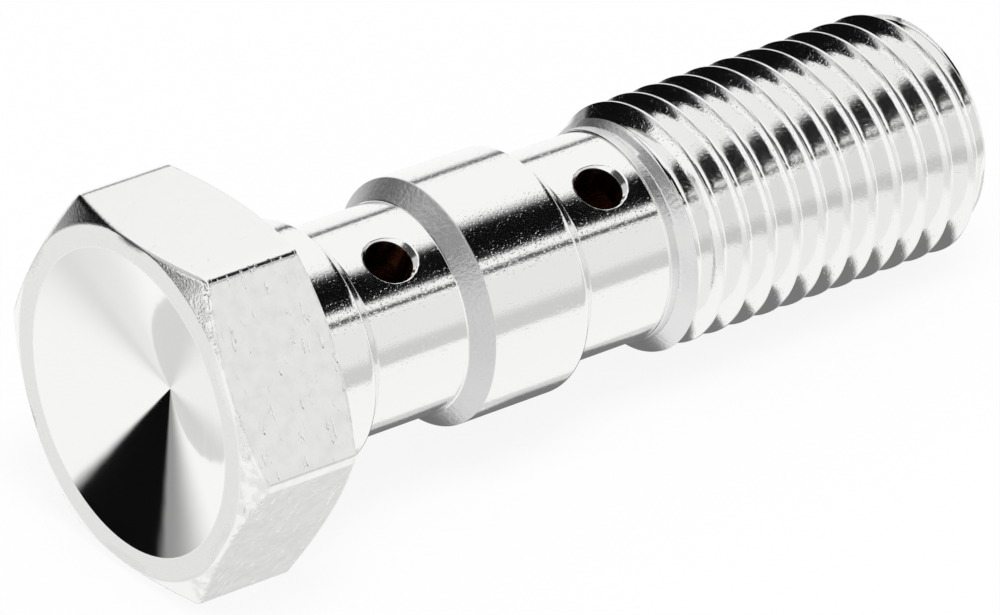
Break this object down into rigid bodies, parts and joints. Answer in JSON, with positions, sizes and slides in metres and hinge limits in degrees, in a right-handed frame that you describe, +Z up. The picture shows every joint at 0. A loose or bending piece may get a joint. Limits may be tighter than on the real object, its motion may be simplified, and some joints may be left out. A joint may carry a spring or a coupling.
{
  "type": "banjo bolt",
  "caption": "Hollow hexagon-head bolt with a waisted, cross-drilled shank and a fine thread. It clamps banjo hose fittings and feeds brake fluid through them.",
  "frame": {"origin": "centre of the seat under the head, on the bolt's axis", "axes": "+Z up and +X towards the threaded end. The bolt lies as it rests on a table, on a flat of its head and the end of its thread, so its axis dips 3.6 degrees below +X."},
  "size_m": [0.0387, 0.016, 0.0142],
  "materials": {
    "chrome_plate": "bright decorative chrome plate over turned steel, with fine turning marks"
  },
  "bodies": {
    "root": {"banjo_bolt": "chrome_plate"}
  },
  "joints": []
}
